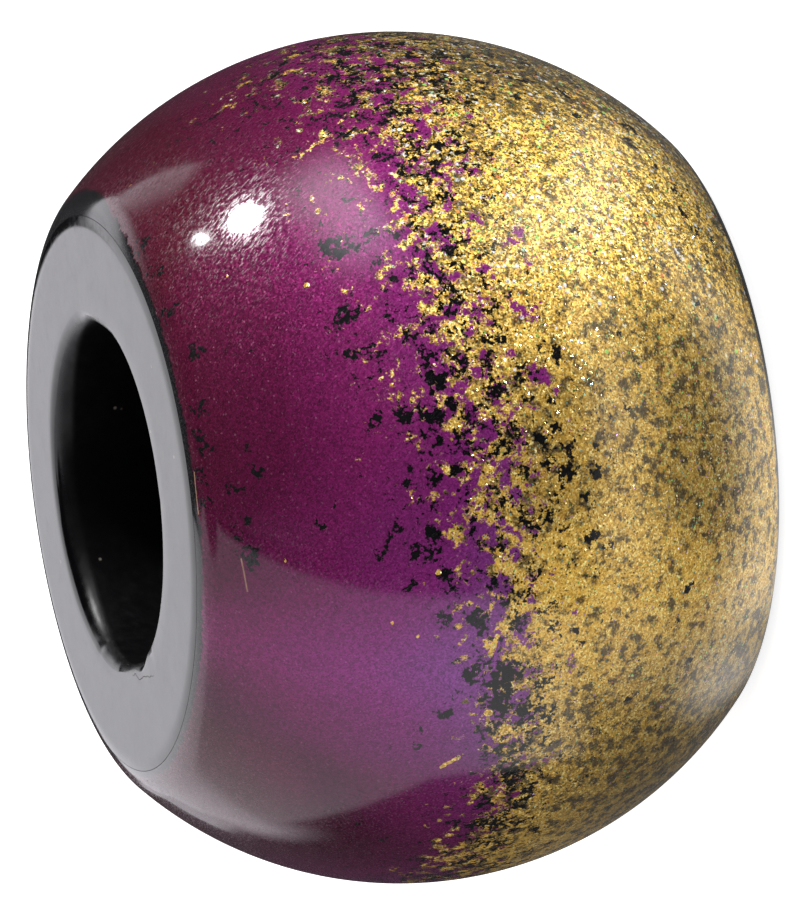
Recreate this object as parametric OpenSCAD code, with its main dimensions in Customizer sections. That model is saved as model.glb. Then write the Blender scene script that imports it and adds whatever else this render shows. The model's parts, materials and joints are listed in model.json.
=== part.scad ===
// Round dread bead with a wide bore: a black core and, over its side, a thin gloss coat.
// The bead stands on one end face, with the bore along +Z.

/* [Core] */
// Largest outside diameter, at the middle of the belly
outer_d = 20; // [19:0.5:22]
// Length along the bore, from end face to end face
bead_length = 14.2; // [13:0.2:16]
// Diameter of the flat part of each end face
face_flat_d = 12.3; // [11.5:0.1:12.8]
// Radius of the round shoulder between an end face and the belly
shoulder_r = 1.5; // [1:0.1:1.8]

/* [Bore] */
// Diameter of the bore that the lock of hair goes through
bore_d = 8; // [6:0.1:9]
// Radius of the round lip at each mouth of the bore
lip_r = 0.5; // [0.2:0.1:1]

/* [Coat] */
// Thickness of the coat over the side of the core
coat_t = 0.2; // [0.1:0.05:0.4]
// How far outside the flat of the end face the coat begins
coat_setback = 0.35; // [0.3:0.05:0.6]
// Gap between the coat and the core
coat_gap = 0.03; // [0.02:0.01:0.05]

/* [Hidden] */

core_colour = "#101013";
coat_colour = "#6b1850";
round_fn = 180;

half_l = bead_length / 2;
bore_r = bore_d / 2;
flat_r = face_flat_d / 2;
coat_edge_r = flat_r + coat_setback;

// Each shoulder is an arc about the point shoulder_x, shoulder_z of the half section.
shoulder_x = flat_r;
shoulder_z = half_l - shoulder_r;

// The belly is one long arc through the largest diameter, tangent to both shoulders. It is
// made a hair tighter than tangent, so that it crosses each shoulder's arc at a clear point.
belly_rise = outer_d / 2 - shoulder_x;
belly_tangent_r = (belly_rise ^ 2 + shoulder_z ^ 2 - shoulder_r ^ 2) / (2 * (belly_rise - shoulder_r));
belly_tighter = 0.0005;
belly_r = rounded_down(belly_tangent_r) - belly_tighter;
belly_x = outer_d / 2 - belly_r;

// Height at which an arc of radius r about the belly's centre meets the shoulder.
shoulder_slope = norm([shoulder_x - belly_x, shoulder_z]);
function meeting_z(r) = rounded_down(r * shoulder_z / shoulder_slope);

function rounded_down(x) = floor(x * 1000) / 1000;

// Half section of the bead without its bore, with every surface moved inwards by inset
module barrel_section(inset) {
    side_z = meeting_z(belly_r - inset);
    intersection() {
        translate([belly_x, 0])
            circle(r = belly_r - inset, $fn = round_fn);
        union() {
            translate([0, -side_z])
                square([outer_d, 2 * side_z]);
            translate([0, inset - half_l])
                square([shoulder_x, bead_length - 2 * inset]);
            for (end = [-1, 1])
                translate([shoulder_x, end * shoulder_z])
                    circle(r = shoulder_r - inset, $fn = round_fn);
        }
    }
}

// Half section of all that lies outside the bore and its two round lips
module outside_bore_section() {
    lip_x = bore_r + lip_r;
    lip_z = half_l - lip_r;
    translate([bore_r, -lip_z])
        square([outer_d, 2 * lip_z]);
    translate([lip_x, -half_l])
        square([outer_d, bead_length]);
    for (end = [-1, 1])
        translate([lip_x, end * lip_z])
            circle(r = lip_r, $fn = round_fn);
}

// Half section of a plain cylinder of radius r about the bore, longer than the bead
module within_radius_section(r) {
    translate([0, -bead_length])
        square([r, 2 * bead_length]);
}

module turned_bead() {
    translate([0, 0, half_l])
        rotate_extrude($fn = round_fn)
            children();
}

// Black core: the whole bead, stepped down under the coat
module core() {
    color(core_colour)
        turned_bead()
            intersection() {
                barrel_section(0);
                outside_bore_section();
                union() {
                    within_radius_section(coat_edge_r - coat_gap);
                    barrel_section(coat_t + coat_gap);
                }
            }
}

// Gloss coat: a skin round the side, from one end face's edge to the other's
module coat() {
    color(coat_colour)
        turned_bead()
            difference() {
                barrel_section(0);
                barrel_section(coat_t);
                within_radius_section(coat_edge_r);
            }
}

core();
coat();
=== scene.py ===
import json
import math

import bmesh
import bpy
from mathutils import Matrix, Vector, noise


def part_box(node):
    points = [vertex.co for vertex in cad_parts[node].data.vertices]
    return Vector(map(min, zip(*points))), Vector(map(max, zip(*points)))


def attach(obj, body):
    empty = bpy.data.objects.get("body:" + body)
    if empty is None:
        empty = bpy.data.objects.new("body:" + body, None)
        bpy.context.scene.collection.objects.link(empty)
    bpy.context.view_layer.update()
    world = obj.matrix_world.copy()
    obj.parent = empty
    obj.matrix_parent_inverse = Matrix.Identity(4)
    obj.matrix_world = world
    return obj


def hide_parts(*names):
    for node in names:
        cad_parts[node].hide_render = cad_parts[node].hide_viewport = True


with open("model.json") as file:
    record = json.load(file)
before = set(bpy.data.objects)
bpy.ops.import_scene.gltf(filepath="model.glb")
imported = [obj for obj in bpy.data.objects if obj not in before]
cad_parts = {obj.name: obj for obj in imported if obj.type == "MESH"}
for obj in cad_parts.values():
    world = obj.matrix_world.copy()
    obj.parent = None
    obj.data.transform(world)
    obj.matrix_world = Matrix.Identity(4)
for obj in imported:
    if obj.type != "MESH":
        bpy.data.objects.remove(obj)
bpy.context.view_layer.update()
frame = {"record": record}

mm = 0.001
scene = bpy.context.scene
scene.view_settings.view_transform = "Standard"

# Sizes that the frame gives
coreLow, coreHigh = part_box("core")
coatLow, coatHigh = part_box("coat")
boreMount = next(m for m in frame["record"]["mounts"] if m["name"] == "bore")
halfLength = (coreHigh[2] - coreLow[2]) / 2
outerRadius = (coatHigh[0] - coatLow[0]) / 2
boreRadius = boreMount["dims"]["r_mm"] * mm
lipRadius = halfLength - boreMount["dims"]["length_mm"] * mm / 2
beadMiddle = Vector((0, 0, halfLength))

# The bead's section, as it was turned
section = {
    "flatRadius": 6.15 * mm,       # flat part of an end face
    "shoulderRadius": 1.5 * mm,    # round between an end face and the belly
    "coatEdgeRadius": 6.5 * mm,    # where the coat begins on the shoulder
    "coatThickness": 0.2 * mm,
    "coatGap": 0.012 * mm,
}


def hexColour(code):
    # sRGB hex to the linear values that a socket holds
    parts = [int(code[i:i + 2], 16) / 255 for i in (0, 2, 4)]
    return [c / 12.92 if c <= 0.04045 else ((c + 0.055) / 1.055) ** 2.4 for c in parts] + [1.0]


# A ramp with soft ends
eased = {"interpolation_type": "SMOOTHSTEP"}


def emptied(owner):
    # clears the nodes of a material or the world, and gives back what adds new ones there
    owner.use_nodes = True
    tree = owner.node_tree
    tree.nodes.clear()

    def addNode(kind, inputs=(), out=0, stops=(), **settings):
        # adds a node with its settings and links, and gives back one output; inputs go by
        # name or number, or in the order of the sockets
        node = tree.nodes.new("ShaderNode" + kind)
        for name, value in settings.items():
            setattr(node, name, value)
        inputs = inputs if isinstance(inputs, dict) else dict(enumerate(inputs))
        for socket, value in inputs.items():
            if isinstance(value, bpy.types.NodeSocket):
                tree.links.new(value, node.inputs[socket])
            else:
                node.inputs[socket].default_value = value
        for i, (place, colour) in enumerate(stops):
            ramp = node.color_ramp.elements
            stop = ramp[i] if i < len(ramp) else ramp.new(place)
            stop.position = place
            stop.color = hexColour(colour) if isinstance(colour, str) else colour
        return node.outputs[out] if node.outputs else None

    return addNode


# Camera: the photo looks at the bead from the side, a little over the purple end face,
# and is turned so that the bore runs from left to right.
view = {
    "distance": 200 * mm,
    "elevation": math.radians(18.2),   # of the camera over the end face's plane
    "lean": math.radians(7.2),         # of the bore below the image's level, to the left
    "pixelsPerMm": 42.6,               # at the bead
    "imageHeight": 909,
    "aimRight": 0.10 * mm,
    "aimUp": 0.07 * mm,
}


def makeCamera():
    back = Vector((0, -math.cos(view["elevation"]), math.sin(view["elevation"])))
    levelRight = Vector((0, -math.sin(view["elevation"]), -math.cos(view["elevation"])))
    levelUp = Vector((1, 0, 0))
    right = levelRight * math.cos(view["lean"]) - levelUp * math.sin(view["lean"])
    up = levelUp * math.cos(view["lean"]) + levelRight * math.sin(view["lean"])
    aim = beadMiddle + right * view["aimRight"] + up * view["aimUp"]
    data = bpy.data.cameras.new("photoCamera")
    camera = bpy.data.objects.new("photoCamera", data)
    scene.collection.objects.link(camera)
    turn = Matrix((right, up, back)).transposed().to_4x4()
    camera.matrix_world = Matrix.Translation(aim + back * view["distance"]) @ turn
    data.sensor_fit = "VERTICAL"
    data.sensor_height = 24
    seenHeight = view["imageHeight"] / view["pixelsPerMm"] * mm
    data.lens = data.sensor_height * view["distance"] / seenHeight
    data.clip_start = 10 * mm
    data.clip_end = 10
    scene.camera = camera
    print("camera set")


makeCamera()

# Studio: a dark room with soft tents and cards round a pale table that glows with painted light, and two
# lamps. Radiance is given against white at 1, directions in degrees round +Z from +X and up from the
# table, and lengths without mm in metres.
studio = {
    "sheetSize": 3.0,
    "sheetGlow": 0.80,
    "sheetColour": "dcdcdb",
    "backdropRadius": 1.6,
    "roomGlow": 0.01,
    "tentColour": "f8f6fc",
    "wattsPerRadiance": 4.0,
    "tableGlow": 0.10,             # painted glow near the bead
    "tableFar": 0.03,              # painted glow beyond the lamps' reach
    "tableReach": (14 * mm, 26 * mm),
    "sheetHeight": -0.05 * mm,
    "tableHeight": -0.10 * mm,     # the camera doesn't see it
    "lamps": (
        {"name": "keyLamp", "around": 0.2, "up": 29.0, "distance": 0.30, "width": 0.044, "height": 0.038,
         "radiance": 145, "mirrored": True},
        {"name": "smallLamp", "around": 9.2, "up": 37.0, "distance": 0.30, "width": 0.028, "height": 0.015,
         "radiance": 40, "mirrored": True},
        {"name": "frontFill", "around": 300, "up": 8, "distance": 0.40, "width": 0.36, "height": 0.30,
         "radiance": 5.5, "mirrored": False},
    ),
    # the tents and cards as seen from the bead
    "windows": (
        # middle, half width, softness, lowest, softness, highest, softness, radiance
        (166, 65, 1.5, -60, 1, 76, 3, 1.05),
        (102, 16, 0.8, 4, 1, 61, 3, 1.65),
        (122, 14, 9, 4, 3, 62, 8, 1.6),
        (78, 9, 2, 18, 2, 53, 3, 1.6),
        (50, 20, 3, 18, 0.8, 25, 5, 1.5),
        (64, 14, 8, 18, 0.8, 38, 10, 1.9),
        (344, 17, 10, 4, 5, 20, 8, 4.4),
        (245, 6, 2.5, 42, 8, 66, 6, 0.14),
        (295, 56, 3, 12, 10, 90, 5, 0.07),
    ),
    # the slanting foot of the side tent: a plane through the directions from the bead
    "tentFoot": {"normal": (0.652, -0.468, 0.596), "offset": -0.70, "soft": 0.015},
    # painted pools of light on the table round the bead, as the bead mirrors them
    "tablePatches": (
        # x mm, y mm, radius mm, added radiance
        (10.5, -10.5, 4, 2.2),
        (15, -14.5, 6, 2.6),
        (21, -20, 7, 2.0),
        (6, -14.5, 5, 1.2),
        (0.5, -15, 4.5, 1.5),
        (-5, -14.5, 5, 1.1),
        (-11, -11, 6, 0.9),
        (-7, -6, 4, 0.5),
        (5.6, -8.2, 1.9, 0.7),
        (4.4, -8.1, 1.8, 0.7),
        (3.2, -7.9, 1.7, 0.7),
        (2.0, -7.8, 1.7, 0.7),
        (0.8, -7.7, 1.7, 0.8),
        (-0.4, -7.5, 1.7, 0.8),
        (-1.6, -7.3, 1.8, 0.8),
        (-3.0, -7.0, 1.9, 0.8),
        (-4.6, -6.4, 2.2, 1.0),
        (-7.6, -4.8, 2.8, 0.7),
        (9.2, -8.2, 3.0, 1.2),
        (10.2, -5.6, 3.4, 0.8),
    ),
    # the side tent's painted reflection on the table: a sector, degrees and mm from the bead's middle
    "tablePool": {"around": 190, "halfWidth": 42, "sideSoft": 3, "start": 19, "startSoft": 4,
                  "radiance": 1.05},
}


def makeLamp(lamp):
    around, up = math.radians(lamp["around"]), math.radians(lamp["up"])
    towards = Vector((math.cos(around) * math.cos(up), math.sin(around) * math.cos(up), math.sin(up)))
    data = bpy.data.lights.new(lamp["name"], "AREA")
    data.shape = "ELLIPSE"
    data.size = lamp["width"]
    data.size_y = lamp["height"]
    area = math.pi / 4 * lamp["width"] * lamp["height"]
    data.energy = lamp["radiance"] * area * studio["wattsPerRadiance"]
    light = bpy.data.objects.new(lamp["name"], data)
    light.location = beadMiddle + towards * lamp["distance"]
    light.rotation_euler = towards.to_track_quat("Z", "Y").to_euler()
    light.visible_camera = False
    light.visible_glossy = lamp["mirrored"]
    scene.collection.objects.link(light)


def stageObject(name, bm, material):
    mesh = bpy.data.meshes.new(name)
    bm.to_mesh(mesh)
    bm.free()
    thing = bpy.data.objects.new(name, mesh)
    scene.collection.objects.link(thing)
    mesh.materials.append(material)
    return thing


def flatSheet(name, height, material):
    bm = bmesh.new()
    bmesh.ops.create_grid(bm, x_segments=1, y_segments=1, size=studio["sheetSize"] / 2)
    bmesh.ops.translate(bm, verts=bm.verts, vec=(0, 0, height))
    return stageObject(name, bm, material)


def awayFrom(addNode, turn, around):
    # degrees, either way, between a turn in radians and a direction
    away = addNode("Math", (turn,), operation="DEGREES")
    away = addNode("Math", (away, around), operation="SUBTRACT")
    away = addNode("Math", (away, 180.0, -180.0), operation="WRAP")
    return addNode("Math", (away,), operation="ABSOLUTE")


def overFoot(addNode, direction):
    # 1 in directions from the bead that are over the tent's foot, 0 below it
    foot = studio["tentFoot"]
    below, over = foot["offset"] - foot["soft"], foot["offset"] + foot["soft"]
    rise = addNode("VectorMath", (direction, foot["normal"]), "Value", operation="DOT_PRODUCT")
    return addNode("MapRange", (rise, below, over), **eased)


def whitePaper():
    # White paper, lit from below: matt, pale, with only a faint shadow
    material = bpy.data.materials.new("whitePaper")
    addNode = emptied(material)
    paper = addNode("BsdfPrincipled", {
        "Base Color": hexColour(studio["sheetColour"]),
        "Roughness": 0.9,
        "Specular IOR Level": 0.0,
        "Emission Color": hexColour("ffffff"),
        "Emission Strength": studio["sheetGlow"],
    })
    addNode("OutputMaterial", {"Surface": paper})
    return material


def tableWithPaintedLight():
    # The pale table as the bead mirrors it, a glowing sheet with painted light: bright in painted pools
    # where the lamps would shine, dim beyond them
    material = bpy.data.materials.new("tableWithPaintedLight")
    addNode = emptied(material)
    place = addNode("TexCoord", out="Object")
    reach = addNode("VectorMath", (place,), "Value", operation="LENGTH")
    near, far = studio["tableReach"]
    glow = addNode("MapRange", (reach, near, far, studio["tableGlow"], studio["tableFar"]), **eased)
    for x, y, radius, added in studio["tablePatches"]:
        away = addNode("VectorMath", (place, (x * mm, y * mm, 0)), "Value", operation="DISTANCE")
        patch = addNode("MapRange", (away, radius * mm, 0.0, 0.0, added), **eased)
        glow = addNode("Math", (glow, patch), operation="ADD")
    mirror = studio["tablePool"]
    sides = addNode("SeparateXYZ", (place,)).node.outputs
    turn = addNode("Math", (sides["Y"], sides["X"]), operation="ARCTAN2")
    away = awayFrom(addNode, turn, mirror["around"])
    widest, narrowest = mirror["halfWidth"] + mirror["sideSoft"], mirror["halfWidth"] - mirror["sideSoft"]
    pool = addNode("MapRange", (away, widest, narrowest, 0.0, mirror["radiance"]), **eased)
    nearest, farther = mirror["start"] - mirror["startSoft"], mirror["start"] + mirror["startSoft"]
    beyond = addNode("MapRange", (reach, nearest * mm, farther * mm), **eased)
    pool = addNode("Math", (pool, beyond), operation="MULTIPLY")
    towards = addNode("VectorMath", (place, beadMiddle), operation="SUBTRACT")
    towards = addNode("VectorMath", (towards,), operation="NORMALIZE")
    pool = addNode("Math", (pool, overFoot(addNode, towards)), operation="MULTIPLY")
    glow = addNode("Math", (glow, pool), operation="MAXIMUM")
    light = addNode("Emission", {"Strength": glow})
    addNode("OutputMaterial", {"Surface": light})
    return material


def makeRoom():
    # The dark room and the tents in it, by direction from the bead
    world = bpy.data.worlds.new("room")
    addNode = emptied(world)
    direction = addNode("TexCoord", out="Generated")
    sides = addNode("SeparateXYZ", (direction,)).node.outputs
    turn = addNode("Math", (sides["Y"], sides["X"]), operation="ARCTAN2")
    up = addNode("Math", (sides["Z"],), operation="ARCSINE")
    up = addNode("Math", (up,), operation="DEGREES")
    onTent = overFoot(addNode, direction)
    glow = studio["roomGlow"]
    for around, halfWidth, sideSoft, low, lowSoft, high, highSoft, radiance in studio["windows"]:
        away = awayFrom(addNode, turn, around)
        widest, narrowest = halfWidth + sideSoft, halfWidth - sideSoft
        level = addNode("MapRange", (away, widest, narrowest, 0.0, radiance), **eased)
        aboveLow = addNode("MapRange", (up, low - lowSoft, low + lowSoft), **eased)
        level = addNode("Math", (level, aboveLow), operation="MULTIPLY")
        belowHigh = addNode("MapRange", (up, high + highSoft, high - highSoft), **eased)
        level = addNode("Math", (level, belowHigh), operation="MULTIPLY")
        if low < 0:
            level = addNode("Math", (level, onTent), operation="MULTIPLY")
        glow = addNode("Math", (glow, level), operation="MAXIMUM")
    background = addNode("Background", {"Color": hexColour(studio["tentColour"]), "Strength": glow})
    addNode("OutputWorld", {"Surface": background})
    scene.world = world


def makeStudio():
    makeRoom()
    for lamp in studio["lamps"]:
        makeLamp(lamp)
    # The camera sees only white paper, as in the photo; the bead mirrors the table and room
    sheet = flatSheet("whiteSheet", studio["sheetHeight"], whitePaper())
    bm = bmesh.new()
    bmesh.ops.create_uvsphere(bm, u_segments=48, v_segments=24, radius=studio["backdropRadius"])
    backdrop = stageObject("whiteBackdrop", bm, whitePaper())
    for seen in (sheet, backdrop):
        seen.visible_glossy = False
        seen.visible_diffuse = False
        seen.visible_shadow = False
    table = flatSheet("table", studio["tableHeight"], tableWithPaintedLight())
    table.visible_camera = False
    print("studio set")


makeStudio()


def arc(centre, radius, start, end, steps):
    # points of an arc in the half section, angles from +X towards +Z
    turn = (math.radians(start + (end - start) * i / steps) for i in range(steps + 1))
    return [(centre[0] + radius * math.cos(t), centre[1] + radius * math.sin(t)) for t in turn]


def line(start, end, steps):
    return [(start[0] + (end[0] - start[0]) * i / steps, start[1] + (end[1] - start[1]) * i / steps)
            for i in range(steps + 1)]


def mirrored(points):
    return [(x, -z) for x, z in reversed(points)]


def withoutRepeats(points):
    kept = [points[0]]
    for point in points[1:]:
        if math.dist(point, kept[-1]) > 1e-7:
            kept.append(point)
    if math.dist(kept[0], kept[-1]) < 1e-7:
        kept.pop()
    return kept


# The shoulder and the belly are two arcs tangent to each other.
shoulder = (section["flatRadius"], halfLength - section["shoulderRadius"])
rise = outerRadius - shoulder[0]
bellyRadius = ((rise ** 2 + shoulder[1] ** 2 - section["shoulderRadius"] ** 2)
               / (2 * (rise - section["shoulderRadius"])))
belly = (outerRadius - bellyRadius, 0)
tangentAngle = math.degrees(math.atan2(shoulder[1], shoulder[0] - belly[0]))


def sidePoints(inset, startRadius, shoulderSteps, bellySteps):
    # upper half of the side, from startRadius on the shoulder down to the middle
    radius = section["shoulderRadius"] - inset
    startAngle = math.degrees(math.acos((startRadius - shoulder[0]) / radius))
    if startAngle > tangentAngle:
        points = arc(shoulder, radius, startAngle, tangentAngle, shoulderSteps)
        startAngle = tangentAngle
    else:
        points = []
        startAngle = math.degrees(math.acos((startRadius - belly[0]) / (bellyRadius - inset)))
    return points + arc(belly, bellyRadius - inset, startAngle, 0, bellySteps)


def reshapeLip(bm, table, end):
    # wears the round lip at one end of the bore, more here and less there
    for vertex in bm.verts:
        x, y, z = vertex.co
        away = math.hypot(x, y) - boreRadius - lipRadius
        rise = end * (z - halfLength) - halfLength + lipRadius
        if away > 1e-6 or rise < -1e-6:
            continue
        angle = math.degrees(math.atan2(y, x)) % 360
        turn = math.radians(angle)
        chipped = 0.1 + 0.9 * (0.5 - 0.5 * math.cos(turn)) ** 2    # the chips lie towards -X
        wave = noise.noise((x / mm * 1.1, y / mm * 1.1, 4.0 * end))
        chip = max(0.0, noise.noise((x / mm * 1.8, y / mm * 1.8, 7.0 * end)) - 0.20)
        worn = easedBetween(table, angle)[0] * mm
        worn += chipped * (core["lipWave"] * wave + core["chipDepth"] * chip)
        scale = min(1.0, max(core["leastLip"], worn) / lipRadius)
        radius = boreRadius + (away + lipRadius) * scale
        height = halfLength + end * (halfLength + (rise - lipRadius) * scale)
        vertex.co = (radius * math.cos(turn), radius * math.sin(turn), height)


def easedBetween(rows, angle):
    # reads a table of rows by angle, round the whole turn
    angle %= 360
    above = next((i for i, row in enumerate(rows) if row[0] > angle), len(rows))
    low, high = rows[above - 1], rows[above % len(rows)]
    span = (high[0] - low[0]) % 360
    t = ((angle - low[0]) % 360) / span
    t = t * t * (3 - 2 * t)
    return [a + (b - a) * t for a, b in zip(low[1:], high[1:])]


def turned(loop, around):
    # spins a closed loop of the half section through a quarter and copies it round the bore
    bm = bmesh.new()
    verts = [bm.verts.new((x, 0, z + halfLength)) for x, z in loop]
    edges = [bm.edges.new((verts[i], verts[i - 1])) for i in range(len(verts))]
    bmesh.ops.spin(bm, geom=verts + edges, cent=(0, 0, 0), axis=(0, 0, 1), dvec=(0, 0, 0),
                   angle=math.pi / 2, steps=around // 4)
    quarter = bm.verts[:] + bm.edges[:] + bm.faces[:]
    for i in (1, 2, 3):
        copied = bmesh.ops.duplicate(bm, geom=quarter)["geom"]
        bmesh.ops.rotate(bm, verts=[part for part in copied if isinstance(part, bmesh.types.BMVert)],
                         cent=(0, 0, 0), matrix=Matrix.Rotation(i * math.pi / 2, 3, "Z"))
    bmesh.ops.remove_doubles(bm, verts=bm.verts, dist=1e-7)
    bmesh.ops.recalc_face_normals(bm, faces=bm.faces)
    for face in bm.faces:
        face.smooth = True
    for edge in bm.edges:
        edge.smooth = edge.calc_face_angle(0) < math.radians(40)
    return bm


def finishPiece(name, bm, node, material):
    mesh = bpy.data.meshes.new(name)
    bm.to_mesh(mesh)
    bm.free()
    piece = bpy.data.objects.new(name, mesh)
    scene.collection.objects.link(piece)
    mesh.materials.append(material)
    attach(piece, "root")
    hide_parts(node)
    print(name, "made,", sum(len(p.vertices) - 2 for p in mesh.polygons), "triangles")
    return piece


def fromMarks(addNode, place, marks):
    # distance from the nearest of some marks, each a dot or a short straight line, given by
    # its two ends and half its width in mm
    closest = 1.0
    for start, end, halfWidth in marks:
        along = (Vector(end) - Vector(start)) * mm
        away = addNode("VectorMath", (place, Vector(start) * mm), operation="SUBTRACT")
        if along.length:
            share = addNode("VectorMath", (away, along), "Value", operation="DOT_PRODUCT")
            share = addNode("Math", (share, along.length_squared), operation="DIVIDE", use_clamp=True)
            foot = addNode("VectorMath", {0: along, "Scale": share}, operation="SCALE")
            away = addNode("VectorMath", (away, foot), operation="SUBTRACT")
        away = addNode("VectorMath", (away,), "Value", operation="LENGTH")
        away = addNode("Math", (away, halfWidth * mm), operation="SUBTRACT")
        closest = addNode("Math", (closest, away), operation="MINIMUM")
    return closest


def wobbled(addNode, place, size, reach):
    # the place, shifted a little by noise, so that small marks come out uneven
    shift = addNode("TexNoise", {"Vector": place, "Scale": 1 / size, "Detail": 1.0}, "Color")
    shift = addNode("VectorMath", (shift, (0.5, 0.5, 0.5)), operation="SUBTRACT")
    shift = addNode("VectorMath", {0: shift, "Scale": reach}, operation="SCALE")
    return addNode("VectorMath", (place, shift), operation="ADD")


# Polished black core
core = {
    "around": 360,                 # faces round the bore
    "boreRows": 20,
    "lipRows": 10,
    "faceRows": 12,
    "shoulderRows": 6,
    "underCoatRows": (4, 12),
    # round of the lip
    "upperLip": (
        # angle, radius mm
        (10, 0.38), (60, 0.5), (120, 0.5), (160, 0.34), (184, 0.16), (194, 0.34), (204, 0.18),
        (250, 0.2), (330, 0.24), (345, 0.16),
    ),
    "lowerLip": (
        # angle, radius mm
        (0, 0.4), (90, 0.3), (170, 0.45), (260, 0.25),
    ),
    "leastLip": 0.12 * mm,
    "lipWave": 0.05 * mm,
    "chipDepth": 0.24 * mm,
    "blackColour": "050506",
    "buffedRoughness": 0.07,
    "markedRoughness": 0.19,       # where sanding marks are left
    "boreRoughness": 0.26,         # added in the hole, which was never buffed
    "markSize": 0.25 * mm,         # sanding marks
    "mottleSize": 0.7 * mm,        # patches of uneven buffing
    "waveSize": 2.4 * mm,          # waves of a surface sanded by hand
    "markHeight": 0.0006 * mm,
    "waveHeight": 0.006 * mm,
    # a hairline crack beside the mouth of the bore, seen from above: points in mm
    "crack": ((-4.24, -0.22, 0), (-4.34, -0.67, 0), (-4.30, -1.26, 0), (-4.26, -1.85, 0)),
    "crackWidth": 0.016 * mm,
    "crackDepth": 0.006 * mm,
    "crackWobble": (0.3 * mm, 0.20 * mm),    # size and reach
    "moteSpacing": 0.7 * mm,
    "moteChance": 0.18,
    "moteStrength": 0.6,
    "dustColour": "8a8278",
}


def polishedBlackClay():
    # Polymer clay, baked, sanded and buffed: deep black with a wet shine and fine sanding marks
    material = bpy.data.materials.new("polishedBlackClay")
    addNode = emptied(material)
    place = addNode("TexCoord", out="Object")
    marks = addNode("TexNoise", {"Vector": place, "Scale": 1 / core["markSize"], "Detail": 5.0,
                                 "Roughness": 0.7})
    waves = addNode("TexNoise", {"Vector": place, "Scale": 1 / core["waveSize"], "Detail": 1.0})
    levels = (0.35, 0.75, core["buffedRoughness"], core["markedRoughness"])
    roughness = addNode("MapRange", (marks,) + levels, **eased)
    # the wall of the bore is duller and has a little dust in it
    flat = addNode("VectorMath", (place, (1, 1, 0)), operation="MULTIPLY")
    reach = addNode("VectorMath", (flat,), "Value", operation="LENGTH")
    inBore = addNode("MapRange", (reach, boreRadius + 0.25 * mm, boreRadius + 0.05 * mm), **eased)
    roughness = addNode("Math", (inBore, core["boreRoughness"], roughness), operation="MULTIPLY_ADD")
    motes = addNode("TexVoronoi", {"Vector": place, "Scale": 1 / core["moteSpacing"]}).node.outputs
    mote = addNode("MapRange", (motes["Distance"], 0.09, 0.03), **eased)
    chance = addNode("SeparateColor", (motes["Color"],), "Red")
    dusty = addNode("Math", (chance, 1 - core["moteChance"]), operation="GREATER_THAN")
    dust = addNode("Math", (mote, dusty), operation="MULTIPLY")
    dust = addNode("Math", (dust, core["moteStrength"]), operation="MULTIPLY")
    black, grey = hexColour(core["blackColour"]), hexColour(core["dustColour"])
    colour = addNode("Mix", {0: dust, 6: black, 7: grey}, 2, data_type="RGBA")
    polish = addNode("Bump", {"Height": waves, "Strength": 1.0, "Distance": core["waveHeight"]})
    sanded = addNode("Bump", {"Height": marks, "Strength": 1.0, "Distance": core["markHeight"],
                              "Normal": polish})
    # uneven buffing mottles the mirrored light
    buffing = addNode("TexNoise", {"Vector": place, "Scale": 1 / core["mottleSize"], "Detail": 4.0,
                                   "Roughness": 0.62})
    mottled = addNode("MapRange", (buffing, 0.30, 0.72, 0.535, 0.465), **eased)
    # the crack
    uneven = wobbled(addNode, place, *core["crackWobble"])
    uneven = addNode("VectorMath", (uneven, (1, 1, 0)), operation="MULTIPLY")
    lines = [(start, end, 0) for start, end in zip(core["crack"], core["crack"][1:])]
    away = fromMarks(addNode, uneven, lines)
    depth = addNode("MapRange", (away, 0.0, core["crackWidth"]), **eased)
    cracked = addNode("Bump", {"Height": depth, "Strength": 1.0, "Distance": core["crackDepth"],
                               "Normal": sanded})
    clay = addNode("BsdfPrincipled", {
        "Base Color": colour,
        "Roughness": roughness,
        "IOR": 1.52,
        "Specular IOR Level": addNode("Math", (inBore, -0.3, mottled), operation="MULTIPLY_ADD"),
        "Normal": cracked,
    })
    addNode("OutputMaterial", {"Surface": clay})
    return material


def makeCore():
    edge = section["coatEdgeRadius"] - section["coatGap"]
    under = section["coatThickness"] + section["coatGap"]
    lip = (boreRadius + lipRadius, halfLength - lipRadius)
    shoulderStart = math.degrees(math.acos((edge - shoulder[0]) / section["shoulderRadius"]))
    upper = line((boreRadius, 0), (boreRadius, lip[1]), core["boreRows"])
    upper += arc(lip, lipRadius, 180, 90, core["lipRows"])
    upper += line((lip[0], halfLength), (shoulder[0], halfLength), core["faceRows"])
    upper += arc(shoulder, section["shoulderRadius"], 90, shoulderStart, core["shoulderRows"])
    upper += sidePoints(under, edge, *core["underCoatRows"])
    bm = turned(withoutRepeats(upper + mirrored(upper)), core["around"])
    reshapeLip(bm, core["upperLip"], 1)
    reshapeLip(bm, core["lowerLip"], -1)
    finishPiece("blackCore", bm, "core", polishedBlackClay())


makeCore()

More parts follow.
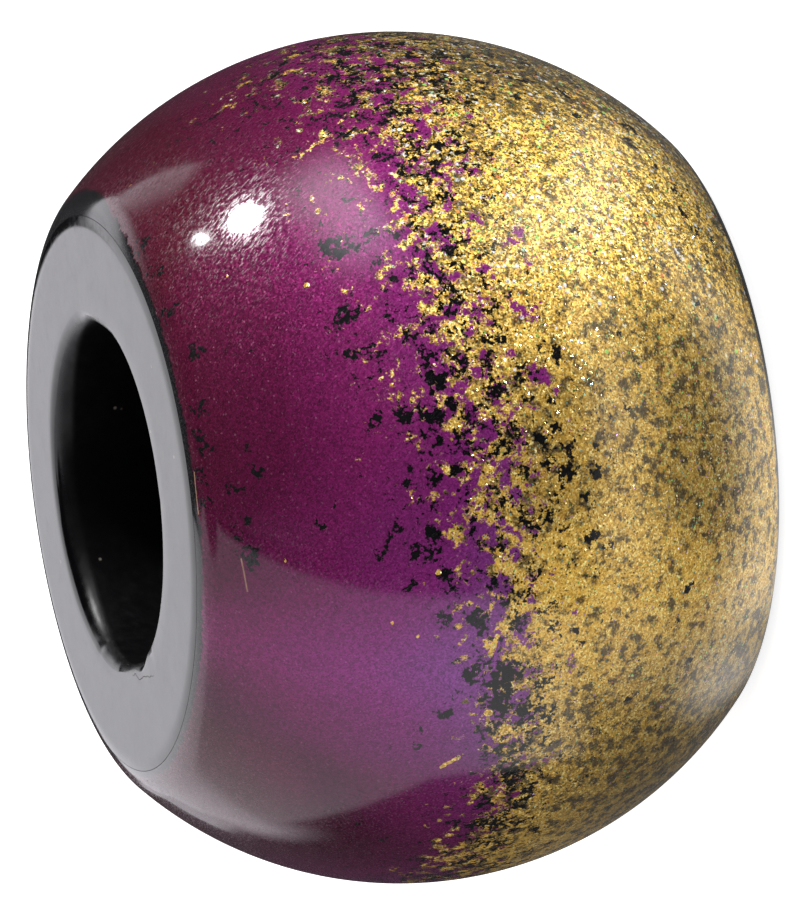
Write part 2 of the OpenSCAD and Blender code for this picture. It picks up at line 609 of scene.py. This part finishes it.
# Pigment and resin coat
coat = {
    "around": 440,                 # faces round the bore
    "shoulderRows": 12,
    "bellyRows": 62,
    "insideRows": (2, 8),
    "redReach": 6.0,               # mm from the face over which the purple turns from red
    "faceTone": 0.72,              # share of the tone that this gives
    "roundTone": 0.42,             # share that the table by angle gives
    "marginFrom": 5.6,             # mm from the middle, where the clear margins can begin
    "goldEnd": (2.2, 0.8),         # heights in mm between which the gold thins out
    "endThinning": 0.7,
    "dullThinning": 0.7,           # what each table of spots below adds or takes off
    "dullReach": 1.2,
    "paintedVeilStrength": 0.55,
    "paintedShadeStrength": 0.30,
    "paintedLightStrength": 0.35,
    "flakeSize": 0.038 * mm,       # mica flakes are 0.01 to 0.1 mm; drawn at the coarse end, to show
    "glintSize": 0.15 * mm,        # painted glints, drawn about twice a flake's real size, to show
    "purpleTilt": 0.28,            # how far the flakes lean
    "goldTilt": 0.55,
    "mirrorTilt": 1.4,             # added for flakes that lie bare
    "pearlMetal": 0.50,
    "mirrorMetal": 0.90,
    "purpleRoughness": 0.82,
    "goldRoughness": 0.70,
    "flakeGloss": 0.30,            # taken off the roughness, flake by flake
    "mirrorGloss": 0.26,
    "purpleTints": ((0.0, "44081e"), (0.28, "580c38"), (0.5, "7a1c5c"), (0.78, "882a78"),
                    (1.0, "86408c")),
    "goldTints": ((0.0, "ae8636"), (0.4, "cea346"), (0.8, "e0ba5c"), (1.0, "f4e094")),
    "paintedPurpleGlint": "f0d4e4",
    "goldGlints": ((0.0, "ff9050"), (0.12, "b0ff7c"), (0.27, "fff0b0"), (0.84, "8ce8d8"),
                   (0.94, "d8a8ff")),
    "paintedGlintColours": ((0.0, "ff9458"), (0.10, "b4f078"), (0.20, "fff4c4"), (0.60, "ffffff"),
                     (0.92, "d0f4d0")),
    "smudgeColour": "35302a",
    "bareBlack": "070608",
    "fibreColour": "c09a7c",
    "rubbingTurn": 52,             # slant of the rubbing marks in degrees
    "rubbingStretch": 4,
    "rubbingSize": 0.04 * mm,
    "rubbingLevels": (0.44, 0.70, 0.05, 0.34),    # noise from, to; roughness from, to
    "unrubbedRoughness": 0.08,
    "resinWaves": 0.004 * mm,
    "loneWobble": (0.12 * mm, 0.10 * mm),    # of grains that lie alone: size and reach
    "rimLean": 0.36,               # how far the clear margin's rim leans outwards
    # how closely the pigment covers the black, by depth into the gold in half widths of the line
    "gapLevels": ((-3.6, 0.62), (-2.2, 0.50), (-1.1, 0.30), (-0.2, 0.13), (0.8, 0.17), (1.8, 0.40),
                  (3.2, 0.62)),
    # how far the noises break up the gold, the gaps and the margin
    "goldSwings": {"clumps": 9.0, "ragged": 3.4},
    "gapSwings": {"gaps": 9.0, "ragged": 6.0},
    "marginSwings": {"ragged": 0.24, "clumps": 0.30},
    "fineLevels": (0.30, 0.70, 0.86, 1.22),    # noise from, to; brightness from, to
    "patchLevels": (0.36, 0.62, 0.38, 1.72),
    "smudgeLevels": (0.83, 1.02, 0.0, 0.87),
    "smudgeGrain": {"ragged": 0.22, "fine": 0.42},
    "grain": {
        # size mm, detail, roughness, seed
        "clumps": (0.42, 5.0, 0.64, 0.0),
        "ragged": (0.10, 2.0, 0.6, 7.0),
        "gaps": (0.34, 5.0, 0.64, 3.0),
        "crumbs": (0.16, 2.0, 0.6, 31.0),
        "smudges": (0.24, 2.0, 0.5, 11.0),
        "fine": (0.05, 1.0, 0.5, 5.0),
        "patches": (0.10, 2.0, 0.6, 41.0),
        "waves": (1.6, 2.0, 0.5, 23.0),
    },
    # where gold takes over from purple: height of the middle of the change and half its
    # width, by the angle round the bore
    "goldLine": (
        # angle, height mm, half width mm
        (0, 7.5, 1.9), (60, 7.6, 1.4), (120, 7.0, 1.5), (180, 7.6, 1.3), (203, 8.0, 1.1),
        (220, 7.7, 0.9), (234, 8.0, 0.8), (243, 8.1, 0.85), (254, 8.2, 1.0), (261, 8.35, 1.3),
        (277, 8.55, 1.5), (288, 8.7, 1.5), (299, 8.55, 1.35), (314, 8.3, 1.5), (326, 8.3, 1.9),
        (340, 8.5, 2.7),
    ),
    # spots that the pigment missed, where the black core shows
    "bareSpots": (
        # angle, height mm, radius mm
        (322, 13.94, 0.27), (314, 13.91, 0.31), (304, 14.00, 0.23), (303, 13.85, 0.23),
        (294, 13.68, 0.25), (283, 13.84, 0.27), (279, 14.00, 0.23), (276, 13.82, 0.27),
        (271, 13.99, 0.25), (266, 14.00, 0.25), (261, 13.46, 0.20), (256, 13.22, 0.31),
        (260, 12.26, 0.13), (257, 10.74, 0.13), (260.5, 10.33, 0.13), (259.6, 9.59, 0.14),
        (256.6, 9.94, 0.17), (252.5, 10.15, 0.14), (247.9, 9.40, 0.17), (247, 8.63, 0.20),
        (256.2, 9.54, 0.14), (253.8, 9.31, 0.13), (258.9, 10.56, 0.10), (266.4, 10.07, 0.11),
        (267.1, 9.41, 0.16), (271.6, 9.24, 0.12), (272.9, 9.47, 0.14), (275.5, 9.95, 0.13),
        (261.3, 11.87, 0.12), (264.9, 11.61, 0.13), (274.8, 13.11, 0.12), (270.8, 12.96, 0.15),
        (268.5, 13.52, 0.18), (267.6, 13.32, 0.14), (262.6, 13.28, 0.15), (238, 8.12, 0.26),
        (234, 8.14, 0.21), (239, 8.72, 0.18), (233, 9.19, 0.16), (227, 9.74, 0.12), (209, 10.51, 0.13),
        (302, 10.68, 0.22), (301, 10.41, 0.22), (291, 10.48, 0.17), (285, 10.34, 0.17),
        (291, 10.81, 0.17), (276, 10.49, 0.15), (285, 10.80, 0.13), (275, 9.36, 0.22), (279, 9.15, 0.18),
        (270, 6.95, 0.13), (268, 6.20, 0.14), (265, 6.45, 0.15), (265, 5.68, 0.14), (271, 6.54, 0.12),
        (262, 6.02, 0.10), (268, 5.62, 0.10), (256, 6.06, 0.14), (255, 5.51, 0.15), (257, 5.80, 0.12),
        (245, 5.57, 0.15), (244, 6.27, 0.11), (242, 6.18, 0.12), (231, 4.77, 0.13), (246, 3.31, 0.14),
        (241, 3.60, 0.13), (233, 3.12, 0.16), (237, 4.69, 0.10), (281, 6.24, 0.13), (273, 4.69, 0.11),
        (298, 5.00, 0.12), (295, 4.63, 0.10), (283, 4.63, 0.11), (289, 3.85, 0.10), (305, 1.73, 0.16),
        (302, 1.46, 0.18), (296, 1.46, 0.14), (293, 3.24, 0.10), (288, 2.16, 0.10), (310, 1.60, 0.20),
        (314, 2.00, 0.16), (318, 2.40, 0.18), (323, 2.20, 0.20), (327, 3.55, 0.14), (284, 3.01, 0.06),
        (280, 1.48, 0.06), (287, 1.31, 0.06), (305, 2.41, 0.06), (295, 2.40, 0.08), (312, 1.22, 0.12),
        (308, 1.09, 0.10), (301, 1.03, 0.10), (321, 3.65, 0.12), (331, 1.54, 0.20),
    ),
    # purple that shows again inside the gold
    "purplePatches": (
        # angle, height mm, radius mm
        (296, 6.49, 0.40), (297, 5.81, 0.30), (288, 6.60, 0.30), (278, 6.63, 0.30), (246, 6.30, 0.20),
        (241, 6.50, 0.25), (238, 6.30, 0.25), (233, 6.60, 0.30),
    ),
    # single grains of gold out on the purple
    "goldDots": (
        # angle, height mm, radius mm
        (247, 10.50, 0.035), (245, 9.95, 0.04), (235, 8.83, 0.07), (233, 8.28, 0.09), (230, 7.83, 0.16),
        (256, 12.61, 0.035), (324, 10.22, 0.08), (297, 11.32, 0.06), (304, 12.74, 0.03),
        (308, 10.60, 0.07), (254, 9.50, 0.06),
    ),
    # drawn-out strands of gold
    "goldStrands": (
        # both ends as angle and height mm, half width mm
        ((223.5, 9.16), (225.5, 8.80), 0.045), ((242.0, 8.34), (244.5, 8.20), 0.06),
    ),
    # fine fibres caught in the resin
    "fibres": (
        # both ends as angle and height mm, half width mm
        ((256.0, 13.42), (253.6, 13.38), 0.014), ((253.6, 13.38), (250.4, 13.33), 0.014),
        ((272.0, 14.08), (264.0, 14.09), 0.010),
    ),
    # the purple's tone round the bead, the pigment's own and partly painted sheen: wine red below 0,
    # violet towards 1 where the pearl catches the side tent's light
    "purpleToneAndSheen": (
        # angle, tone
        (30, 0.0), (110, 0.4), (180, 0.1), (203, -0.45), (217, -0.1), (228, 0.6), (240, 0.95), (255, 0.5),
        (275, 0.15), (300, 0.1), (325, -0.4), (350, -0.5),
    ),
    # painted light and shade: how bright the purple is round the bead
    "purpleShadingByAngle": (
        # angle, level
        (40, 0.9), (130, 1.0), (200, 0.60), (222, 0.74), (240, 1.05), (258, 0.92), (280, 1.04),
        (315, 1.12), (340, 1.05),
    ),
    # painted reflection: where the purple is lighter, under the pale veil mirrored along the rim
    "paintedPurpleVeil": (
        # angle, height mm, radius mm
        (205, 13.4, 1.4), (212, 12.9, 1.0),
    ),
    # how thin the gold lies: 0 is thick, about 2 barely covers the black
    "goldThinning": (
        # angle, thinness
        (20, 0.9), (100, 0.3), (180, 0.8), (215, 1.3), (232, 1.25), (246, 0.4), (262, 0.6), (275, 0.5),
        (290, 0.2), (305, 0.25), (316, 0.35), (330, 1.7), (345, 2.1),
    ),
    # where the gold lies dull and thin over the black; low near the foot this is partly painted shade, the
    # dark band the gold mirrors there
    "dullAndShadedPatches": (
        # angle, height mm, radius mm
        (268, 2.5, 1.5), (281, 2.9, 1.3), (250, 2.2, 0.5), (330, 3.2, 1.6), (210, 2.5, 1.8),
    ),
    # where the gold glitters, by angle: more bare mirror flakes, painted brighter patches and painted
    # glints
    "glintStrengthByAngle": (
        # angle, strength
        (0, 1.0), (60, 0.4), (180, 0.3), (240, 0.1), (262, 0.15), (283, 0.4), (300, 1.3), (335, 1.5),
    ),
    # painted shade, where the gold is browner and darker: mostly the dark band it mirrors from the bead's
    # shadow at its foot
    "paintedShadeOnGold": (
        # angle, height mm, radius mm
        (277, 2.2, 0.8), (270, 2.7, 0.9), (262, 2.8, 0.9), (258, 2.7, 0.4), (271, 6.2, 0.9),
        (265, 6.5, 0.8), (219, 3.8, 2.2),
    ),
    # painted light: where the gold is lighter, standing for a broad sheen
    "paintedLightOnGold": (
        # angle, height mm, radius mm
        (311, 3.2, 1.6), (301, 4.6, 1.4),
    ),
    # radius at which the pigment ends on the rounded edge, over bare black
    "pigmentEdge": (
        # angle, upper radius mm, lower radius mm
        (15, 7.02, 7.22), (60, 6.75, 6.90), (150, 6.62, 6.80), (205, 6.66, 6.95), (238, 6.70, 6.85),
        (264, 6.74, 7.00), (282, 6.70, 7.06), (299, 6.68, 7.17), (318, 6.70, 7.22), (335, 6.84, 7.24),
        (350, 7.08, 7.24),
    ),
    # where the clear margin falls off in a round rim
    "roundRim": (
        # angle, share
        (60, 0), (200, 0), (255, 0), (275, 1), (326, 1), (342, 0),
    ),
}

# What is painted on the coat's vertices for its material to read
paintedFields = ("goldDepth", "bareDepth", "purpleDepth", "pigmentMargin", "purpleToneAndSheen",
                 "purpleLightAndShade", "goldThin", "goldPaintedShadeAndLight", "sparkleAndPaintedGlint", "roundRim")


def outerAt(height):
    # radius in mm of the bead's outside at a height in mm over the table
    up = abs(height - halfLength / mm)
    x, y = (c / mm for c in shoulder)
    if up > belly[1] / mm + bellyRadius / mm * math.sin(math.radians(tangentAngle)):
        return x + math.sqrt(max(0.0, (section["shoulderRadius"] / mm) ** 2 - (up - y) ** 2))
    return belly[0] / mm + math.sqrt((bellyRadius / mm) ** 2 - up ** 2)


def onSurface(angle, height):
    # place in mm on the bead's outside
    turn = math.radians(angle)
    return (outerAt(height) * math.cos(turn), outerAt(height) * math.sin(turn), height)


def spotStrength(spots, angle, height, radius):
    # 1 in the middle of a spot, 0 at its edge, falling on to -2
    strongest = -2.0
    for spotAngle, spotHeight, spotRadius in spots:
        up = height - spotHeight
        if abs(up) < 3 * spotRadius:
            across = math.radians((angle - spotAngle + 180) % 360 - 180) * radius
            reach = math.hypot(across, up, radius - outerAt(spotHeight))
            strongest = max(strongest, 1 - reach / spotRadius)
    return strongest


def clamped(value):
    return min(1.0, max(0.0, value))


def paintedAt(x, y, z):
    # what the coat's tables give at a place in mm
    angle = math.degrees(math.atan2(y, x)) % 360
    radius = math.hypot(x, y)
    upper = z > halfLength / mm

    def inside(spots, reach=1.0):
        return clamped(reach + spotStrength(coat[spots], angle, z, radius))

    def byAngle(rows):
        return easedBetween(coat[rows], angle)[0]

    lineHeight, halfWidth = easedBetween(coat["goldLine"], angle)
    upperEdge, lowerEdge = easedBetween(coat["pigmentEdge"], angle)
    onShoulder = abs(z - halfLength / mm) > coat["marginFrom"]
    # painted sheen: the purple is redder near the face, where the pearl faces the dark room
    fromFace = min(1.0, (2 * halfLength / mm - z) / coat["redReach"])
    tone = coat["faceTone"] * fromFace + coat["roundTone"] * byAngle("purpleToneAndSheen")
    endTop, endLow = coat["goldEnd"]
    nearEnd = clamped((endTop - z) / (endTop - endLow))
    # dull thin gold, partly painted shade near the foot
    thin = coat["dullThinning"] * inside("dullAndShadedPatches", coat["dullReach"])
    thin += coat["endThinning"] * nearEnd
    # painted shade and painted light on the gold
    shade = coat["paintedShadeStrength"] * inside("paintedShadeOnGold") - coat["paintedLightStrength"] * inside("paintedLightOnGold")
    return {
        "goldDepth": (lineHeight - z) / halfWidth,
        "bareDepth": spotStrength(coat["bareSpots"], angle, z, radius),
        "purpleDepth": spotStrength(coat["purplePatches"], angle, z, radius),
        "pigmentMargin": radius - (upperEdge if upper else lowerEdge) if onShoulder else 1.0,
        "purpleToneAndSheen": clamped(tone),
        "purpleLightAndShade": byAngle("purpleShadingByAngle") + coat["paintedVeilStrength"] * inside("paintedPurpleVeil"),
        "goldThin": byAngle("goldThinning") + thin,
        "goldPaintedShadeAndLight": shade,
        "sparkleAndPaintedGlint": byAngle("glintStrengthByAngle"),
        "roundRim": byAngle("roundRim") if upper else 0,
    }


def paintCoat(mesh):
    painted = [paintedAt(*[c / mm for c in vertex.co]) for vertex in mesh.vertices]
    for name in paintedFields:
        values = [fields[name] for fields in painted]
        mesh.attributes.new(name, "FLOAT", "POINT").data.foreach_set("value", values)


def brokenUp(addNode, value, grain, swings):
    # shifts a value up and down by some of the noises
    for name, swing in swings.items():
        shift = addNode("Math", (grain[name], swing, -swing / 2), operation="MULTIPLY_ADD")
        value = addNode("Math", (value, shift), operation="ADD")
    return value


def goldSpread(addNode, place, painted, grain):
    # gold where its depth, the clumps and the ragged grain together pass zero
    depth = brokenUp(addNode, painted["goldDepth"], grain, coat["goldSwings"])
    purple = addNode("MapRange", (painted["purpleDepth"], -1.0, 0.9, 0.0, 1.5), **eased)
    depth = addNode("Math", (depth, purple), operation="SUBTRACT")
    # grains and strands of gold that lie alone
    uneven = wobbled(addNode, place, *coat["loneWobble"])
    marks = [(onSurface(angle, height), onSurface(angle, height), radius)
             for angle, height, radius in coat["goldDots"]]
    marks += [(onSurface(*start), onSurface(*end), halfWidth)
              for start, end, halfWidth in coat["goldStrands"]]
    away = fromMarks(addNode, uneven, marks)
    alone = addNode("MapRange", (away, 0.012 * mm, -0.012 * mm, 0.0, 9.0), **eased)
    depth = addNode("Math", (depth, alone), operation="ADD")
    return addNode("MapRange", (depth, -0.30, 0.30), **eased), alone


def bareSpread(addNode, painted, grain, gold, alone):
    # bare black: commonest where the two powders meet, some in the gold, little in the purple
    across = addNode("Math", (painted["goldDepth"], 1 / 8, 0.5), operation="MULTIPLY_ADD", use_clamp=True)
    greys = [(0.5 + depth / 8, [level, level, level, 1]) for depth, level in coat["gapLevels"]]
    cover = addNode("ValToRGB", (across,), stops=greys)
    gap = addNode("Math", (cover, -4.0), operation="MULTIPLY")
    gap = brokenUp(addNode, gap, grain, coat["gapSwings"])
    thin = addNode("Math", (painted["goldThin"], 0.35), operation="MULTIPLY")
    gap = addNode("Math", (thin, gold, gap), operation="MULTIPLY_ADD")
    # the traced spots crumble at their edges
    spots = addNode("MapRange", (painted["bareDepth"], -1.1, 0.8), **eased)
    crumbs = addNode("MapRange", (grain["crumbs"], 0.36, 0.62, 0.6, 3.6), **eased)
    gap = addNode("Math", (spots, crumbs, gap), operation="MULTIPLY_ADD")
    gap = addNode("Math", (gap, alone), operation="SUBTRACT")
    return addNode("MapRange", (gap, -0.45, 0.35), **eased)


def purpleFlakes(addNode, painted, parts):
    tint = addNode("ValToRGB", (painted["purpleToneAndSheen"],), stops=coat["purpleTints"])
    # each flake's own brightness, times the painted light and shade round the bead
    level = addNode("Math", (parts["Green"], 0.7, 0.65), operation="MULTIPLY_ADD")
    level = addNode("Math", (level, painted["purpleLightAndShade"]), operation="MULTIPLY")
    tint = addNode("VectorMath", {0: tint, "Scale": level}, operation="SCALE")
    # a few flakes get a pale painted glint
    flash = addNode("Math", (parts["Red"], 0.985), operation="GREATER_THAN")
    flash = addNode("Math", (flash, 0.05), operation="MULTIPLY")
    return addNode("Mix", {0: flash, 6: tint, 7: hexColour(coat["paintedPurpleGlint"])}, 2, data_type="RGBA")


def goldFlakes(addNode, place, painted, grain, parts):
    tint = addNode("ValToRGB", (parts["Red"],), stops=coat["goldTints"])
    level = addNode("MapRange", (grain["fine"],) + coat["fineLevels"], **eased)
    full = addNode("Math", (painted["goldThin"], -0.26, 1.46), operation="MULTIPLY_ADD")
    # the painted shade and light darken or lighten the gold
    lit = addNode("Math", (1.0, painted["goldPaintedShadeAndLight"]), operation="SUBTRACT")
    # brighter and darker patches, painted light where the gold glitters
    patchy = addNode("MapRange", (grain["patches"],) + coat["patchLevels"], **eased)
    patchy = addNode("Mix", {0: painted["sparkleAndPaintedGlint"], 2: 1.0, 3: patchy})
    for factor in (full, lit, patchy):
        level = addNode("Math", (level, factor), operation="MULTIPLY")
    tint = addNode("VectorMath", {0: tint, "Scale": level}, operation="SCALE")
    # smudges, where the powder lies dull over the black
    smudge = addNode("Math", (painted["goldThin"], 0.05, grain["smudges"]), operation="MULTIPLY_ADD")
    for name, share in coat["smudgeGrain"].items():
        smudge = addNode("Math", (grain[name], share, smudge), operation="MULTIPLY_ADD")
    smudge = addNode("MapRange", (smudge,) + coat["smudgeLevels"], **eased)
    # 7 in 100 flakes lie bare, and up to 29 in 100 where the painted glitter is strongest
    limit = addNode("Math", (painted["sparkleAndPaintedGlint"], -0.16, 0.95), operation="MULTIPLY_ADD")
    bright = addNode("Math", (parts["Green"], limit), operation="GREATER_THAN")
    # bare flakes get bright painted glint tints, and also lean and shine as real mirrors
    flash = addNode("Math", (bright, 0.62), operation="MULTIPLY")
    flashTint = addNode("ValToRGB", (parts["Blue"],), stops=coat["goldGlints"])
    flashTint.node.color_ramp.interpolation = "CONSTANT"
    # painted glints: coarser grains coloured pale and bright where the gold glitters
    coarse = addNode("TexVoronoi", {"Vector": place, "Scale": 1 / coat["glintSize"]}).node.outputs
    coarseParts = addNode("SeparateColor", (coarse["Color"],)).node.outputs
    limit = addNode("Math", (painted["sparkleAndPaintedGlint"], -0.34, 1.10), operation="MULTIPLY_ADD")
    paintedGlintShare = addNode("Math", (coarseParts["Green"], limit), operation="GREATER_THAN")
    rounded = addNode("MapRange", (coarse["Distance"], 0.46, 0.28, 0.0, 0.95), **eased)
    paintedGlintShare = addNode("Math", (paintedGlintShare, rounded), operation="MULTIPLY")
    paintedGlintTint = addNode("ValToRGB", (coarseParts["Blue"],), stops=coat["paintedGlintColours"])
    paintedGlintTint.node.color_ramp.interpolation = "CONSTANT"
    dull = hexColour(coat["smudgeColour"])
    for share, over in ((smudge, dull), (flash, flashTint), (paintedGlintShare, paintedGlintTint)):
        tint = addNode("Mix", {0: share, 6: tint, 7: over}, 2, data_type="RGBA")
    return tint, bright


def resinFilm(addNode, place, painted, grain, margin):
    # wet gloss with fine rubbing marks that fray the highlights
    strokes = addNode("Mapping", {"Vector": place, "Rotation": (0, math.radians(coat["rubbingTurn"]), 0),
                                  "Scale": (coat["rubbingStretch"], 1, 1)}, vector_type="TEXTURE")
    rubbing = addNode("TexNoise", {"Vector": strokes, "Scale": 1 / coat["rubbingSize"], "Detail": 2.0,
                                   "Roughness": 0.6})
    roughness = addNode("MapRange", (rubbing,) + coat["rubbingLevels"], **eased)
    unrubbed = addNode("MapRange", (margin, 0.1, 0.0), **eased)
    roughness = addNode("Mix", {0: unrubbed, 2: roughness, 3: coat["unrubbedRoughness"]})
    wavy = addNode("Bump", {"Height": grain["waves"], "Strength": 1.0, "Distance": coat["resinWaves"]})
    # beside the face the resin falls off in a round rim, which mirrors the dark side of the room
    rim = addNode("MapRange", (margin, 0.05, -0.02), **eased)
    rim = addNode("Math", (rim, painted["roundRim"]), operation="MULTIPLY")
    rim = addNode("Math", (rim, coat["rimLean"]), operation="MULTIPLY")
    outward = addNode("VectorMath", (place, (1, 1, 0)), operation="MULTIPLY")
    outward = addNode("VectorMath", (outward,), operation="NORMALIZE")
    outward = addNode("VectorMath", {0: outward, "Scale": rim}, operation="SCALE")
    leaning = addNode("VectorMath", (wavy, outward), operation="ADD")
    return roughness, addNode("VectorMath", (leaning,), operation="NORMALIZE")


def pearlPigmentUnderResin():
    # Mica powder rubbed on the clay and sealed in clear resin: pearly grains that flash one by
    # one, with black between them where the powder is thin, all under a wet gloss
    material = bpy.data.materials.new("pearlPigmentUnderResin")
    addNode = emptied(material)
    place = addNode("TexCoord", out="Object")
    painted = {name: addNode("Attribute", out="Fac", attribute_name=name) for name in paintedFields}
    grain = {}
    for name, (size, detail, roughness, seed) in coat["grain"].items():
        grain[name] = addNode("TexNoise", {"Vector": place, "Scale": 1 / (size * mm), "Detail": detail,
                                           "Roughness": roughness, "W": seed}, noise_dimensions="4D")
    gold, alone = goldSpread(addNode, place, painted, grain)
    bare = bareSpread(addNode, painted, grain, gold, alone)
    # the pigment ends raggedly on the shoulder, over bare black
    margin = brokenUp(addNode, painted["pigmentMargin"], grain, coat["marginSwings"])
    bareMargin = addNode("MapRange", (margin, 0.035, -0.035), **eased)
    bare = addNode("Math", (bare, bareMargin), operation="MAXIMUM")

    # each flake is a cell with its own tilt, tint and brightness
    flake = addNode("TexVoronoi", {"Vector": place, "Scale": 1 / coat["flakeSize"]}, "Color")
    parts = addNode("SeparateColor", (flake,)).node.outputs
    colour = purpleFlakes(addNode, painted, parts)
    goldTint, bright = goldFlakes(addNode, place, painted, grain, parts)
    lines = [(onSurface(*start), onSurface(*end), halfWidth) for start, end, halfWidth in coat["fibres"]]
    away = fromMarks(addNode, place, lines)
    fibre = addNode("MapRange", (away, 0.014 * mm, -0.006 * mm, 0.0, 0.55), **eased)
    black, fibreTint = hexColour(coat["bareBlack"]), hexColour(coat["fibreColour"])
    for share, over in ((gold, goldTint), (bare, black), (fibre, fibreTint)):
        colour = addNode("Mix", {0: share, 6: colour, 7: over}, 2, data_type="RGBA")

    # a few gold flakes lie bare and bright like small mirrors
    bright = addNode("Math", (bright, gold), operation="MULTIPLY")
    moreTilt = coat["goldTilt"] - coat["purpleTilt"]
    lean = addNode("Math", (gold, moreTilt, coat["purpleTilt"]), operation="MULTIPLY_ADD")
    lean = addNode("Math", (bright, coat["mirrorTilt"], lean), operation="MULTIPLY_ADD")
    tilt = addNode("VectorMath", (flake, (0.5, 0.5, 0.5)), operation="SUBTRACT")
    tilt = addNode("VectorMath", {0: tilt, "Scale": lean}, operation="SCALE")
    tilt = addNode("VectorMath", (tilt, addNode("NewGeometry", out="Normal")), operation="ADD")
    covered = addNode("Math", (1.0, bare), operation="SUBTRACT")
    metal = addNode("Math", (covered, coat["pearlMetal"]), operation="MULTIPLY")
    mirror = addNode("Math", (bright, coat["mirrorMetal"]), operation="MULTIPLY")
    smoother = coat["goldRoughness"] - coat["purpleRoughness"]
    roughness = addNode("Math", (gold, smoother, coat["purpleRoughness"]), operation="MULTIPLY_ADD")
    roughness = addNode("Math", (parts["Red"], -coat["flakeGloss"], roughness), operation="MULTIPLY_ADD")
    roughness = addNode("Math", (bright, -coat["mirrorGloss"], roughness), operation="MULTIPLY_ADD")
    gloss, glossNormal = resinFilm(addNode, place, painted, grain, margin)
    shader = addNode("BsdfPrincipled", {
        "Base Color": colour,
        "Metallic": addNode("Math", (metal, mirror), operation="MAXIMUM"),
        "Roughness": roughness,
        "Specular IOR Level": 0.1,
        "Normal": addNode("VectorMath", (tilt,), operation="NORMALIZE"),
        "Coat Weight": 1.0,
        "Coat Roughness": gloss,
        "Coat IOR": 1.5,
        "Coat Normal": glossNormal,
    })
    addNode("OutputMaterial", {"Surface": shader})
    return material


def makeCoat():
    edge = section["coatEdgeRadius"]
    outer = sidePoints(0, edge, coat["shoulderRows"], coat["bellyRows"])
    inner = sidePoints(section["coatThickness"], edge, *coat["insideRows"])
    outer += mirrored(outer)
    inner += mirrored(inner)
    bm = turned(withoutRepeats(outer + inner[::-1]), coat["around"])
    piece = finishPiece("colourCoat", bm, "coat", pearlPigmentUnderResin())
    paintCoat(piece.data)
    print("coat painted")


makeCoat()
